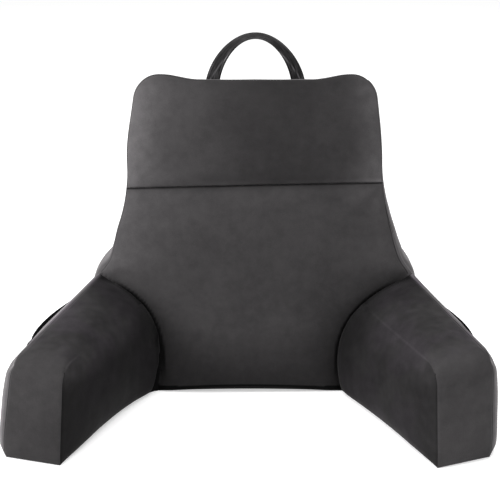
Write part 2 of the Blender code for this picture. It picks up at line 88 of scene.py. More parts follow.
# How far each panel stands out past its seams, and over what distance from a seam it rises
FRONT_PUFF, FRONT_ROLL, FRONT_CROWN = 0.0075, 0.024, 0.015
SEAM_ROLL = 0.018
REAR_PUFF = 0.010
SIDE_PUFF, SIDE_ROLL, SIDE_CROWN = 0.0085, 0.017, 0.006
TOP_SHARE = 0.17  # the top strip stands out by this share of a side panel's puff
ARM_PUFF, ARM_ROLL, ARM_CROWN = 0.0085, 0.030, 0.003
ARM_FRONT_PUFF = 0.0055
ARM_END_PUFF = 0.0050  # where the top strip rolls down over the front end
ARM_CROWN_ROLL = 0.055  # from the seams at both edges of an arm's top strip
ARM_FRONT_ROLL = 0.090  # from the seam between an arm's inner panel and its front end
ARM_CREASE_DEPTH = 0.12  # the faint seam along an arm's top takes away this share of the puff
ARM_CREASE_ROLL = 0.018
ARM_ROOT_ROLL = 0.050
ARM_SIDE_PUFF, ARM_SIDE_ROLL, ARM_SIDE_CROWN = 0.0105, 0.026, 0.0105  # of its outer panel
ARM_SIDE_TOP_ROLL = 0.0135  # that panel rises steeply from its top seam
ARM_SIDE_FRONT = (0.55, 0.85)  # shares of the reach between which it turns less steep
PANEL_CROWN_ROLL = 0.080  # from the top seams of an arm's inner and outer panels
ARM_TO_CROWN = 0.100  # the back's crown rises over this distance from an arm
FOOT_ROLL = 0.014
CROWN_SHAPE = 0.7  # below 1 the back's crown is flatter in its middle than a parabola

# The back's seam outline, seen from in front
BACK_OUTLINE = [
    # height, half width, shift of the middle to the right
    (0.000, 0.2440, 0.0000),
    (0.100, 0.2490, 0.0010),
    (0.160, 0.2540, 0.0060),
    (0.186, 0.2542, 0.0092),
    (0.205, 0.2397, 0.0100),
    (0.225, 0.2325, 0.0092),
    (0.250, 0.2258, 0.0082),
    (0.275, 0.2180, 0.0082),
    (0.300, 0.2122, 0.0082),
    (0.330, 0.2082, 0.0078),
    (0.380, 0.2076, 0.0069),
    (0.440, 0.2012, 0.0080),
    (0.500, 0.1925, 0.0090),
]

# How full each side panel is. The filling sits more to the right.
SIDE_SHARES = [
    # height, left side's share of the full puff, right side's share
    (0.000, 1.00, 1.00),
    (0.165, 1.00, 1.00),
    (0.186, 0.65, 0.75),
    (0.220, 0.30, 0.62),
    (0.270, 0.22, 0.55),
    (0.340, 0.18, 0.32),
    (0.420, 0.17, 0.28),
    (0.500, 0.17, 0.28),
]

# The curved seam where an arm meets the back's front: up its inner side, then outward over its top
ARM_ROOT_INNER = [
    # height, distance from the middle
    (0.000, 0.1500),
    (0.020, 0.1452),
    (0.040, 0.1428),
    (0.060, 0.1430),
    (0.080, 0.1462),
    (0.100, 0.1528),
    (0.120, 0.1640),
    (0.138, 0.1795),
]
ARM_ROOT_TOP = [
    # distance from the middle, height
    (0.1795, 0.1380),
    (0.1960, 0.1515),
    (0.2150, 0.1640),
    (0.2350, 0.1750),
    (0.2542, 0.1860),
]

# The arms' front ends before they are rounded. The arms aren't quite alike.
ARM_FRONT_CORNERS = {
    "right": {
        # place: distance from the middle, y, height
        "inner bottom": (0.2695, -0.2738, 0.0),
        "inner top": (0.2630, -0.2652, 0.152),
        "outer top": (0.3500, -0.2332, 0.158),
        "outer bottom": (0.3555, -0.2375, 0.0),
    },
    "left": {
        "inner bottom": (0.2740, -0.2655, 0.0),
        "inner top": (0.2640, -0.2590, 0.151),
        "outer top": (0.3432, -0.2302, 0.149),
        "outer bottom": (0.3645, -0.2375, 0.0),
    },
}
ARM_REACH = 0.29  # from root to front end
ARM_TALL = 0.157
ARM_ROOT_WIDE, ARM_FRONT_WIDE = 0.110, 0.088
ARM_FOOT_BOW = {
    # how far the inner foot line bows outward, and below 1 it bows most nearer the root
    "right": (0.007, 1.0),
    "left": (0.0195, 0.6),
}
ARM_END_RADIUS = 0.030  # the top strip rolls down over the front end
ARM_EDGE_RADIUS = 0.030  # its inner edge is round half way along
ARM_EDGE_RADIUS_FRONT = 0.007  # and nearly sharp at the front end
ARM_EDGE_START = 0.30  # share of the arm's reach over which the rounding begins
ARM_MIDDLE = (0.26, -0.12, 0.07)  # a place inside the right arm
ARM_FOOT_TUCK = {"left": 0.0055, "right": 0.003}  # its outer side turns in by this at the floor
ARM_TUCK_HEIGHT = 0.035

# The handle is one strap, sewn in at the rear top seam
HANDLE_HALF_SPAN = 0.0736
HANDLE_SHIFT = 0.0092  # its middle is this far to the right
HANDLE_RISE = 0.0834
HANDLE_TAPER = 0.13  # its loop narrows towards the top by this share
HANDLE_WIDTH = 0.026
HANDLE_THICKNESS = 0.003
HANDLE_FOOT_TWIST = math.radians(20.0)  # the strap stands partly on edge where it is sewn in
HANDLE_TOP_TWIST = math.radians(60.0)  # and more so at the top of its loop
HANDLE_STEPS = 120

# Each pocket is one sheet on an arm's outer side, open at its top
POCKET_START, POCKET_END = 0.07, 0.72
POCKET_FOOT, POCKET_MOUTH = 0.14, 0.90
POCKET_BULGE = 0.0095
POCKET_FULLEST = 1.25  # above 1 the pocket is fullest nearer its front edge
POCKET_FLATNESS = 0.7  # below 1 its mouth is flatter along than a sine
POCKET_HEM = 0.08  # share of the sheet that lies flat along its sides and foot
POCKET_CLOTH = 0.0012
POCKET_SEAT = 0.0006  # its hem lies this far off the arm

# Divisions of the cushions' grids, which a subdivision then halves
BACK_CUTS = (72, 22, 50)
HEAD_CUTS = (64, 18, 32)
ARM_CUTS = (22, 54, 34)
POCKET_CUTS = (56, 40)
EDGE_BUNCHING = 0.55  # 0 spaces grid lines evenly, 1 bunches them at the seams
SLOPE_STEP = 0.004
SMALL, GRID_SLACK, SHOULDER_SLACK = 1e-6, 1e-4, 1e-3

# The filling's own softness
SIM_FRAMES = 16
SIM_PRESSURE = 2.0
FRONT_GIVE, REAR_GIVE, SIDE_GIVE = 0.004, 0.005, 0.002  # how far the back's panels may move
ARM_GIVE, ARM_SIDE_GIVE = 0.003, 0.0006
ARM_SIDE_LUMPS = 0.3  # an arm's outer panel is smoother, by this share
JOINT_FADE = 0.050  # beside a joint that is flush, the filling moves over this distance
LUMP_SIZE, LUMP_HEIGHT = 0.075, 0.0013
RIPPLE_SIZE, RIPPLE_HEIGHT = 0.026, 0.0004

# The seams: a groove, and short puckers square to it
SEAM_SAMPLE = 0.0006
NO_SEAM = 1.0  # the distance that stands for no seam at all
SHARP_ANGLE = math.radians(55.0)
GROOVE_HALF_WIDTH, GROOVE_DEPTH = 0.0021, 0.0014
FAINT_SEAM = 0.0042  # a weaker seam counts as this much further away
PUCKER_REACH, PUCKER_HEIGHT, PUCKER_SPACING = 0.007, 0.00012, 0.010
PUCKER_END = 5  # they stop at this many times their reach

# The handle's section and its two rows of stitches
STRAP_SECTION = 28
STRAP_SQUARENESS = 0.45
STITCH_INSET, STITCH_WIDTH, STITCH_DIP = 0.0035, 0.0012, 0.0007
STRAP_FOLD = (0.55, -1.15, 0.75)  # its fold's place across at the foot and higher up, from this share on
STREAKS = (330.0, 24.0)  # how closely the pile's streaks lie, across and along

# How bright each panel's pile is, for its nap: a grid's low and high end along each of its axes in turn.
# The side panels and an arm's outer panel are painted brighter, a painted sheen where they turn from the front;
# the head's top strip is a little brighter and the back's foot panel is dark
HEAD_NAP_AND_SHEEN = (1.6, 2.0, 1.0, 1.0, 1.0, 1.1)
BACK_NAP_AND_SHEEN = (1.6, 2.0, 1.0, 1.0, 0.12, 1.0)
ARM_NAP_AND_SHEEN = (1.0, 2.0, 1.0, 1.0, 1.0, 1.0)

# Painted light across a panel's front: brighter at both rolled edges and most at the left, where the light
# comes from, darker in the middle
HEAD_PAINTED_LIGHT = [
    # place from the left seam at -1 to the right one at 1, brightness
    (-1.0, 2.15),
    (-0.8, 1.50),
    (-0.5, 0.98),
    (0.0, 0.58),
    (0.5, 0.64),
    (0.8, 0.96),
    (1.0, 1.85),
]
BACK_PAINTED_LIGHT = [
    # the same places, brightness
    (-1.0, 1.70),
    (-0.8, 1.30),
    (-0.4, 0.93),
    (0.0, 0.88),
    (0.5, 0.86),
    (1.0, 1.15),
]

# Painted light and shade along an edge: the pile's painted brightness there, and how far from that edge it
# fades out
# painted shade: the back is darker towards the floor
FOOT_PAINTED_SHADE, FOOT_REACH = 0.42, 0.13
BASE_BRIGHTNESS, BASE_REACH = 0.0, 0.0105  # the front panel's colour is black along its lifted foot edge
VALLEY_PAINTED_SHADE, VALLEY_REACH = 0.72, 0.06  # painted shade beside an arm, below the shoulder
FOLD_PAINTED_SHADE, FOLD_START, FOLD_END = 0.10, 0.003, 0.0065  # painted shade, nearly black in the fold against the arm
FOLD_FOOT_FADE, FOLD_TOP_FADE = 0.055, 0.030  # that fold opens at the floor and the shoulder
BROW_PAINTED_SHADE, BROW_REACH = 0.80, 0.013  # painted shade under the head's seam
LIP_PAINTED_HIGHLIGHT, LIP_REACH = 1.45, 0.009  # painted highlight above it, where it grows from one place across to the other
LIP_START, LIP_END = -0.7, -0.2
TOP_PAINTED_SHADE, TOP_REACH = 0.85, 0.03  # painted shade along the back's top
# painted sheen on the band where the right side panel shows on the back's front
NECK_PAINTED_SHEEN = 1.9
NECK_BAND = [
    # the right side panel comes over onto the back's front, where it gets a painted sheen: height, width of
    # what shows
    (0.186, 0.0055),
    (0.215, 0.0050),
    (0.250, 0.0035),
    (0.300, 0.0),
]

# The same painted light and shade on the arms
ARM_PAINTED_LIGHT = {
    # painted brightness of the inner panel at root and front, of the top strip at root and half way,
    # and of the front end
    "left": (0.18, 0.15, 0.23, 0.58, 0.80),
    "right": (0.15, 0.32, 0.20, 0.58, 0.98),
}
ARM_PAINTED_LIGHT_REACH = 0.050  # from the top strip's brightness down to the inner panel's
ARM_PAINTED_LIGHT_FRONT = 0.76  # share of the reach where it turns to the front end's
ROOT_SHADE, ROOT_SHADE_START, ROOT_SHADE_END = 0.20, 0.008, 0.024  # darker in the fold beside the back
ROOT_RIM_END = 0.060  # and without a bright rim up to here
# painted sheen on the strip where an outer panel comes over onto an arm's top
EDGE_PAINTED_SHEEN = 2.0
EDGE_STRIP = 0.0050  # an outer panel comes this far over onto an arm's top
EDGE_STRIP_END = 0.12  # and its seam runs out to the edge over this share of the reach
FAINT_LIGHT = {"left": 0.0, "right": 0.30}  # how much brighter the pile is along the faint seam
FAINT_REACH = 0.0024
FAINT_START, FAINT_END, FAINT_FADE = 0.12, 0.92, 0.10  # shares of the reach
MOTTLES = [
    # size of the arms' brushed patches, how much they vary
    (0.035, 0.22),
    (0.012, 0.20),
]

VELOUR_DARK, VELOUR_LIGHT = (0.0345, 0.0328, 0.0338), (0.0470, 0.0446, 0.0458)
PATCH_TINT = (1.03, 0.98, 1.06)  # purple patches on the arms
RIM_START, RIM_LIGHT = 0.55, 2.4  # painted sheen: the pile's colour is brighter seen from the side
SEAM_SHADE = 0.25  # the pile's brightness in a seam
SEAM_LINE = (0.0004, 0.0013)  # distances from a seam between which that ends
STRAP_DARK, STRAP_LIGHT = (0.010, 0.0097, 0.010), (0.022, 0.0212, 0.022)
STITCH_LIGHT, FOLD_LIGHT = 2.2, 3.4
STITCH_LINE, FOLD_LINE = (0.0003, 0.0009), (0.0004, 0.0024)
POCKET_DARK, POCKET_LIGHT = (0.006, 0.006, 0.007), (0.012, 0.012, 0.013)
MOUTH_STITCH, MOUTH_SHADE = 0.93, 0.3  # a row of stitches at this share of a pocket's height
MOUTH_LINE = (0.003, 0.008)

# Each cloth's roughness, sheen, roughness of its sheen and colour of its sheen
VELOUR_SURFACE = (0.9, 0.1, 0.3, (0.62, 0.60, 0.61))
STRAP_SURFACE = (0.85, 0.08, 0.35, (0.6, 0.58, 0.6))
POCKET_SURFACE = (0.8, 0.15, 0.4, (0.3, 0.3, 0.3))
SPECULAR = 0.08

# The strength and depth of its bumps
VELOUR_BUMP, STRAP_BUMP, POCKET_BUMP = (0.5, 0.0006), (0.5, 0.0005), (0.4, 0.0004)

# Between which values its noise runs, and for what isn't a colour, what that is turned into
PATCH_RANGE, TINT_RANGE, STRAP_RANGE = (0.38, 0.62), (0.42, 0.56), (0.35, 0.65)
GRAIN_RANGE, STREAK_RANGE = (0.3, 0.7, 0.86, 1.14), (0.36, 0.64, 0.2, 2.3)

# How fine that noise is
PATCH_SCALE, STROKE_SCALE, FIBRE_SCALE, TINT_SCALE = 11.0, 70.0, 1400.0, 16.0
STRAP_PATCH_SCALE, WORN_SCALE, THREAD_SCALE = 45.0, 30.0, 180.0

# The studio
FLOOR_HALF = 6.0
FLOOR_GLOW = 0.45
WORLD_LIGHT = 0.45
LIT_PLACE = (0.0, 0.05, 0.2)
LIGHTS = [
    # name, place, size, power
    ("key", (-2.1, -0.7, 1.3), 1.2, 55.0),
    ("fill", (1.6, -2.2, 1.5), 1.6, 14.0),
    ("top", (0.0, 0.2, 3.4), 3.4, 110.0),
]

# The photograph's viewing angle
CAMERA_ELEVATION = math.radians(18.0)
CAMERA_DISTANCE = 2.1
CAMERA_TARGET = (0.0, 0.0298, 0.233)
CAMERA_LENS = 94.2

UP_THE_BACK = np.array([0.0, math.sin(LEAN), math.cos(LEAN)])
THROUGH_THE_BACK = np.array([0.0, math.cos(LEAN), -math.sin(LEAN)])
TO_THE_RIGHT = np.array([1.0, 0.0, 0.0])


def table_value(table, place, column=1):
    """Reads a short table along its first column, with a smooth curve through its rows."""
    rows = np.array(table)
    keys, values = rows[:, 0], rows[:, column]
    slopes = np.gradient(values, keys)
    place = np.clip(place, keys[0], keys[-1])
    low = np.clip(np.searchsorted(keys, place, side="right") - 1, 0, len(keys) - 2)
    width = keys[low + 1] - keys[low]
    t = (place - keys[low]) / width
    start, end = values[low], values[low + 1]
    lift = 3 * t**2 - 2 * t**3
    ease_in = (t**3 - 2 * t**2 + t) * width * slopes[low]
    ease_out = (t**3 - t**2) * width * slopes[low + 1]
    return start + (end - start) * lift + ease_in + ease_out


def share_of(value):
    return np.clip(value, 0, 1)


def roll(distance, radius):
    """From 0 at a seam to 1 a radius away from it, steep at first and level at the end."""
    return 1 - (1 - share_of(distance / radius)) ** 2


def smooth_step(value):
    value = share_of(value)
    return value**2 * (3 - 2 * value)


def blend(start, end, share):
    return start + (end - start) * share


def points(x, y, z):
    return np.stack(np.broadcast_arrays(x, y, z), axis=-1)


def round_corner(front, top, radius):
    """Moves distances from two faces so that the corner between the faces becomes an arc."""
    a = 1 - share_of(front / radius)
    b = 1 - share_of(top / radius)
    size = np.maximum(a, b)
    ratio = np.minimum(a, b) / np.maximum(size, SMALL)
    angle = np.where(a > b, ratio, 2 - ratio) * math.pi / 4
    inside = (a > 0) & (b > 0)
    new_front = np.where(inside, radius * (1 - size * np.cos(angle)), front)
    new_top = np.where(inside, radius * (1 - size * np.sin(angle)), top)
    return new_front, new_top


def outward(base, params, axes, middle):
    """The direction square to a panel, from the slopes of its two grid directions."""
    slopes = []
    for axis in axes:
        low = [param.copy() for param in params]
        high = [param.copy() for param in params]
        low[axis] = np.maximum(low[axis] - SLOPE_STEP, 0.0 if axis else -1.0)
        high[axis] = np.minimum(high[axis] + SLOPE_STEP, 1.0)
        slopes.append(base(*high) - base(*low))
    normal = np.cross(*slopes)
    normal /= np.linalg.norm(normal, axis=1, keepdims=True)
    facing = np.sum(normal * (base(*params) - np.array(middle)), axis=1, keepdims=True)
    return normal * np.where(facing < 0, -1.0, 1.0)


def fill_out(moved, base, params, middle, which, axes, amount):
    """Moves the points of one panel out from its seams."""
    if which.any():
        inside = [param[which] for param in params]
        moved[which] += outward(base, inside, axes, middle) * amount[which][:, None]


def keep_in_front_plane(moved, place, which):
    """Takes out of a move what leaves the plane of the back's front."""
    slip = (moved - place)[which]
    moved[which] = place[which] + slip - np.outer(slip @ THROUGH_THE_BACK, THROUGH_THE_BACK)


def seam_height(u):
    return SEAM_HEIGHT + SEAM_TILT * u


def top_height(u):
    rise = (np.abs(u) - TOP_SAG_REACH) / (TOP_CORNER_REACH - TOP_SAG_REACH)
    return blend(TOP_MIDDLE_HEIGHT, TOP_CORNER_HEIGHT, smooth_step(rise))


def shift_right(height):
    return table_value(BACK_OUTLINE, height, column=2)


def back_point(u, v, height):
    """u runs from the left seam at -1 to the right one at 1, v from the front panel to the rear one."""
    half = table_value(BACK_OUTLINE, height)
    front_y = FRONT_FOOT_Y + height * math.tan(LEAN)
    share = height / TOP_CORNER_HEIGHT
    rear_top_y = FRONT_FOOT_Y + TOP_CORNER_HEIGHT * math.tan(LEAN) + TOP_THICKNESS * math.cos(LEAN)
    rear_top_z = TOP_CORNER_HEIGHT - TOP_THICKNESS * math.sin(LEAN)
    rear_y = blend(REAR_FOOT_Y, rear_top_y, share)
    x = shift_right(height) + u * half * blend(1.0, REAR_WIDTH_RATIO, v)
    return points(x, blend(front_y, rear_y, v), blend(height, rear_top_z * share, v))


def head_base(u, v, w):
    half = table_value(BACK_OUTLINE, TOP_CORNER_HEIGHT)
    span = top_height(u) - seam_height(u)
    side, top = round_corner((1 - np.abs(u)) * half, (1 - w) * span, TOP_CORNER_RADIUS)
    u = np.sign(u) * (1 - side / half)
    return back_point(u, v, seam_height(u) + span - top)


def foot_lift(u, v, w):
    """The front of the foot lifts a little between the arms."""
    across = share_of(1 - (u / FOOT_ARCH_REACH) ** 2)
    return FOOT_ARCH_HEIGHT * across * share_of(1 - v / FOOT_ARCH_DEPTH) ** 2 * (1 - w) ** 4


def lower_base(u, v, w):
    place = back_point(u, v, seam_height(u) * w)
    place[..., 2] += foot_lift(u, v, w)
    return place


def distance_to_root_seam(x, z):
    """How far a place on the back's front is from the curved seam of the nearer arm. Inside it, 0."""
    seam = [(across, height) for height, across in ARM_ROOT_INNER] + ARM_ROOT_TOP[1:]
    x = np.abs(x - shift_right(z))
    nearest = np.full(x.shape, NO_SEAM)
    for (x0, z0), (x1, z1) in zip(seam, seam[1:]):
        along = ((x - x0) * (x1 - x0) + (z - z0) * (z1 - z0)) / ((x1 - x0) ** 2 + (z1 - z0) ** 2)
        along = share_of(along)
        nearest = np.minimum(nearest, np.hypot(x - blend(x0, x1, along), z - blend(z0, z1, along)))
    across, heights = np.array(seam).T
    inside = (z < SHOULDER_HEIGHT) & (x > np.interp(z, heights, across))
    return np.where(inside, 0.0, nearest)


def front_fullness(place, to_side, to_seam, to_top, crown):
    to_arm = distance_to_root_seam(place[:, 0], place[:, 2])
    edges = roll(to_side, FRONT_ROLL) * roll(to_arm, FRONT_ROLL) * roll(place[:, 2], FOOT_ROLL)
    puff = FRONT_PUFF * edges * roll(to_seam, SEAM_ROLL) * roll(to_top, FRONT_ROLL)
    return puff + crown * roll(to_arm, ARM_TO_CROWN)


def side_fullness(v, place):
    """How far a side panel stands out. Below the shoulder it runs on into the arm's outer side."""
    share = share_of(place[:, 2] / TOP_CORNER_HEIGHT)
    thickness = blend(REAR_FOOT_Y - FRONT_FOOT_Y, TOP_THICKNESS, share)
    shoulder_y = FRONT_FOOT_Y + SHOULDER_HEIGHT * math.tan(LEAN)
    to_shoulder = np.hypot(place[:, 1] - shoulder_y, place[:, 2] - SHOULDER_HEIGHT)
    to_front = np.where(place[:, 2] > SHOULDER_HEIGHT, v * thickness, to_shoulder)
    to_rear = (1 - v) * thickness
    puff = SIDE_PUFF * roll(to_front, SIDE_ROLL) * roll(to_rear, SIDE_ROLL)
    crown = SIDE_CROWN * roll(to_front, thickness / 2) * roll(to_rear, thickness / 2)
    return (puff + crown) * roll(place[:, 2], FOOT_ROLL)


def side_share(u, height):
    left, right = (table_value(SIDE_SHARES, height, column) for column in (1, 2))
    return np.where(u < 0, left, right)


def back_surface(base, is_head, middle, u, v, w):
    """A back section's grid points, with each panel filled out from its seams."""
    place = base(u, v, w)
    moved = place.copy()
    height = place[:, 2]
    side, front, rear = np.isclose(np.abs(u), 1), np.isclose(v, 0), np.isclose(v, 1)
    top, foot = np.isclose(w, 1) & is_head, np.isclose(w, 0) & (not is_head)
    fill = functools.partial(fill_out, moved, base, (u, v, w), middle)
    head_span = top_height(u) - seam_height(u)
    to_seam = w * head_span if is_head else (1 - w) * seam_height(u)
    to_top = (1 - w) * head_span if is_head else np.full(u.shape, FRONT_ROLL)
    up_the_back = share_of(height / TOP_MIDDLE_HEIGHT)
    crown = FRONT_CROWN * (4 * up_the_back * (1 - up_the_back)) ** CROWN_SHAPE * (1 - u**2)
    to_side = (1 - np.abs(u)) * table_value(BACK_OUTLINE, height)
    panel = ~side & ~top & ~foot
    fill(panel & front, (0, 2), front_fullness(place, to_side, to_seam, to_top, crown))
    rear_edges = roll(to_side, FRONT_ROLL) * roll(to_top, FRONT_ROLL) * roll(height, FOOT_ROLL)
    fill(panel & rear, (0, 2), REAR_PUFF * rear_edges + crown)
    beside_arm = side & front & (height < SHOULDER_HEIGHT)
    side_full = side_fullness(v, place)
    fill((side & ~front & ~rear & ~foot) | beside_arm, (1, 2), side_full * side_share(u, height))
    keep_in_front_plane(moved, place, beside_arm)
    fill(top & ~side & ~front & ~rear, (0, 1), side_full * TOP_SHARE)
    return moved


def lower_surface(u, v, w):
    return back_surface(lower_base, False, LOWER_MIDDLE, u, v, w)


def head_surface(u, v, w):
    return back_surface(head_base, True, HEAD_MIDDLE, u, v, w)


def arm_root(across, w):
    """A place on the flat root of the right arm, filled in between the four edges of that root."""
    inner_z = ARM_ROOT_INNER[-1][0] * w
    outer_z = SHOULDER_HEIGHT * w
    x = blend(table_value(ARM_ROOT_INNER, inner_z), table_value(BACK_OUTLINE, outer_z), across)
    top_z = table_value(ARM_ROOT_TOP, blend(ARM_ROOT_TOP[0][0], ARM_ROOT_TOP[-1][0], across))
    straight_top_z = blend(ARM_ROOT_TOP[0][1], SHOULDER_HEIGHT, across)
    z = blend(inner_z, outer_z, across) + (top_z - straight_top_z) * w
    return points(x, FRONT_FOOT_Y + z * math.tan(LEAN), z)


def arm_front(corners, across, w):
    place = {name: np.array(spot) for name, spot in corners.items()}
    bottom = blend(place["inner bottom"], place["outer bottom"], across[..., None])
    top = blend(place["inner top"], place["outer top"], across[..., None])
    return blend(bottom, top, w[..., None])


def arm_base(side, u, t, w):
    """The right arm: u from its inner side to its outer one, t from its root to its front end."""
    wide = blend(ARM_ROOT_WIDE, ARM_FRONT_WIDE, t)
    radius = blend(ARM_EDGE_RADIUS_FRONT, ARM_EDGE_RADIUS, 4 * t * (1 - t))
    radius = radius * smooth_step(t / ARM_EDGE_START)
    inner, top = round_corner((1 + u) / 2 * wide, (1 - w) * ARM_TALL, np.maximum(radius, SMALL))
    across = inner / wide
    end, top = round_corner((1 - t) * ARM_REACH, top, ARM_END_RADIUS)
    t, w = 1 - end / ARM_REACH, 1 - top / ARM_TALL
    place = blend(arm_root(across, w), arm_front(ARM_FRONT_CORNERS[side], across, w), t[..., None])
    bow, skew = ARM_FOOT_BOW[side]
    place[..., 0] += bow * 4 * t**skew * (1 - t**skew) * (1 - w) * (1 - across)
    return place


def arm_distances(u, t, w):
    """How far a place is from an arm's root, front end, top, inner side and outer side."""
    wide = blend(ARM_ROOT_WIDE, ARM_FRONT_WIDE, t)
    return t * ARM_REACH, (1 - t) * ARM_REACH, (1 - w) * ARM_TALL, (1 + u) / 2 * wide, (1 - u) / 2 * wide


def crease(distance):
    """How much of the puff the faint seam along an arm's top takes away."""
    return ARM_CREASE_DEPTH * share_of(1 - distance / ARM_CREASE_ROLL) ** 2


def arm_surface(side, u, t, w):
    """An arm's grid points, with each panel filled out from its seams."""
    base = functools.partial(arm_base, side)
    place = base(u, t, w)
    moved = place.copy()
    to_root, to_front, to_top, to_inner, to_outer = arm_distances(u, t, w)
    inner, outer = np.isclose(u, -1), np.isclose(u, 1)
    root, front, top, foot = np.isclose(t, 0), np.isclose(t, 1), np.isclose(w, 1), np.isclose(w, 0)
    at_floor = roll(place[:, 2], FOOT_ROLL)
    fill = functools.partial(fill_out, moved, base, (u, t, w), ARM_MIDDLE)
    ends = roll(to_root, ARM_ROLL) * roll(to_front, ARM_FRONT_ROLL)
    inner_full = ARM_PUFF * ends * at_floor * (1 - crease(to_top))
    fill(inner & ~root & ~front & ~foot, (1, 2), inner_full)
    steep_end, soft_start = ARM_SIDE_FRONT
    softer = smooth_step((t - steep_end) / (soft_start - steep_end))
    top_roll = blend(ARM_SIDE_TOP_ROLL, ARM_SIDE_ROLL, softer)
    outer_edges = roll(to_front, ARM_SIDE_ROLL) * roll(to_top, top_roll) * at_floor
    outer_full = outer_edges * (ARM_SIDE_PUFF + ARM_SIDE_CROWN * roll(to_top, PANEL_CROWN_ROLL))
    fill(outer & ~front & ~top & ~foot, (1, 2), outer_full)
    strip_edges = roll(to_outer, ARM_CROWN_ROLL) * roll(to_root, ARM_ROOT_ROLL)
    strip_full = ARM_PUFF * (1 - crease(to_inner)) + ARM_CROWN * roll(to_inner, ARM_CROWN_ROLL)
    end_full = ARM_END_PUFF * roll(to_inner, ARM_ROLL) * roll(to_outer, ARM_ROLL)
    strip_full = blend(end_full, strip_edges * strip_full, smooth_step(to_front / ARM_FRONT_ROLL))
    fill(top & ~inner & ~outer & ~root, (0, 1), strip_full)
    front_edges = roll(to_inner, ARM_ROLL) * roll(to_outer, ARM_ROLL) * roll(place[:, 2], ARM_ROLL)
    front_full = blend(end_full, ARM_FRONT_PUFF * front_edges, smooth_step(to_top / ARM_FRONT_ROLL))
    fill(front & ~inner & ~outer & ~foot & ~top, (0, 2), front_full)
    keep_in_front_plane(moved, place, root)
    low = share_of(1 - moved[:, 2] / ARM_TUCK_HEIGHT) ** 2
    moved[:, 0] -= ARM_FOOT_TUCK[side] * low * (1 + u) / 2 * smooth_step(2 * t)
    moved[:, 0] *= 1 if side == "right" else -1
    moved[:, 0] += shift_right(moved[:, 2]) * (1 - t)
    return moved


def pocket_place(side, along, up):
    """A place on a pocket's inner face: on the arm's outer side at its hem, and away from it inside."""
    t = blend(POCKET_START, POCKET_END, along)
    w = blend(POCKET_FOOT, POCKET_MOUTH, up)
    outer = np.ones_like(t)
    seat = arm_surface(side, outer, t, w)
    ahead = arm_surface(side, outer, t + SLOPE_STEP, w) - seat
    above = arm_surface(side, outer, t, w + SLOPE_STEP) - seat
    away = np.cross(above, ahead)
    away /= np.linalg.norm(away, axis=1, keepdims=True)
    away *= np.sign(away[:, :1]) * (1 if side == "right" else -1)
    free_along = share_of((along - POCKET_HEM) / (1 - 2 * POCKET_HEM)) ** POCKET_FULLEST
    free_up = share_of((up - POCKET_HEM) / (1 - POCKET_HEM))
    across = np.sin(math.pi * free_along) ** POCKET_FLATNESS
    bulge = POCKET_BULGE * across * np.sin(math.pi / 2 * free_up)
    return seat + away * (POCKET_SEAT + bulge)[:, None]


# Making meshes


def box_lattice(cuts):
    """The grid points on a box's six sides, from -1 to 1, their quads, and which side each quad is on."""
    index = np.full([count + 1 for count in cuts], -1)
    skin = np.zeros(index.shape, bool)
    for axis in range(3):
        for end in (0, -1):
            np.moveaxis(skin, axis, 0)[end] = True
    spots = np.argwhere(skin)
    index[skin] = np.arange(len(spots))
    quads, panels = [], []
    for axis in range(3):
        for end in (0, -1):
            quad = grid_quads(np.moveaxis(index, axis, 0)[end])
            if (end == 0) != (axis == 1):
                quad = quad[:, ::-1]
            quads.append(quad)
            panels.append(np.full(len(quad), 2 * axis + (end == -1)))
    return spots / np.array(cuts) * 2 - 1, np.concatenate(quads), np.concatenate(panels)


def bunched(grid):
    """Moves even grid lines from -1 to 1 closer together at both ends."""
    return blend(grid, np.sin(grid * math.pi / 2), EDGE_BUNCHING)


def panel_places(grid):
    """Grid places as u, which stays from -1 to 1, and v and w, which run from 0 to 1."""
    return grid[:, 0], (grid[:, 1] + 1) / 2, (grid[:, 2] + 1) / 2


def grid_quads(index):
    corners = [index[:-1, :-1], index[1:, :-1], index[1:, 1:], index[:-1, 1:]]
    return np.stack(corners, axis=-1).reshape(-1, 4)


def add_object(name, data):
    made = bpy.data.objects.new(name, data)
    bpy.context.scene.collection.objects.link(made)
    return made


def add_mesh(name, spots, faces):
    data = bpy.data.meshes.new(name)
    data.from_pydata([tuple(spot) for spot in spots], [], [tuple(face) for face in faces])
    data.shade_smooth()
    return add_object(name, data)


def add_attribute(mesh, name, values, kind="FLOAT", domain="POINT"):
    field = "vector" if kind == "FLOAT_VECTOR" else "value"
    data = mesh.attributes.new(name, kind, domain).data
    data.foreach_set(field, np.array(values, np.float32).ravel())


def read_rows(items, field, width=3, kind=np.float32):
    flat = np.empty(len(items) * width, kind)
    items.foreach_get(field, flat)
    return flat.reshape(-1, width).astype(float if kind is np.float32 else int)


def coordinates(mesh):
    return read_rows(mesh.vertices, "co")


def set_coordinates(mesh, spots):
    mesh.vertices.foreach_set("co", spots.astype(np.float32).ravel())
    mesh.update()


def edge_ends(mesh):
    return read_rows(mesh.edges, "vertices", 2, np.int32)


def freeze(piece):
    """Turns what the piece's modifiers show into its mesh, and takes the modifiers off."""
    graph = bpy.context.evaluated_depsgraph_get()
    shown = bpy.data.meshes.new_from_object(piece.evaluated_get(graph), depsgraph=graph)
    piece.modifiers.clear()
    old, piece.data = piece.data, shown
    shown.name = old.name + "_mesh"
    bpy.data.meshes.remove(old)


# The filling


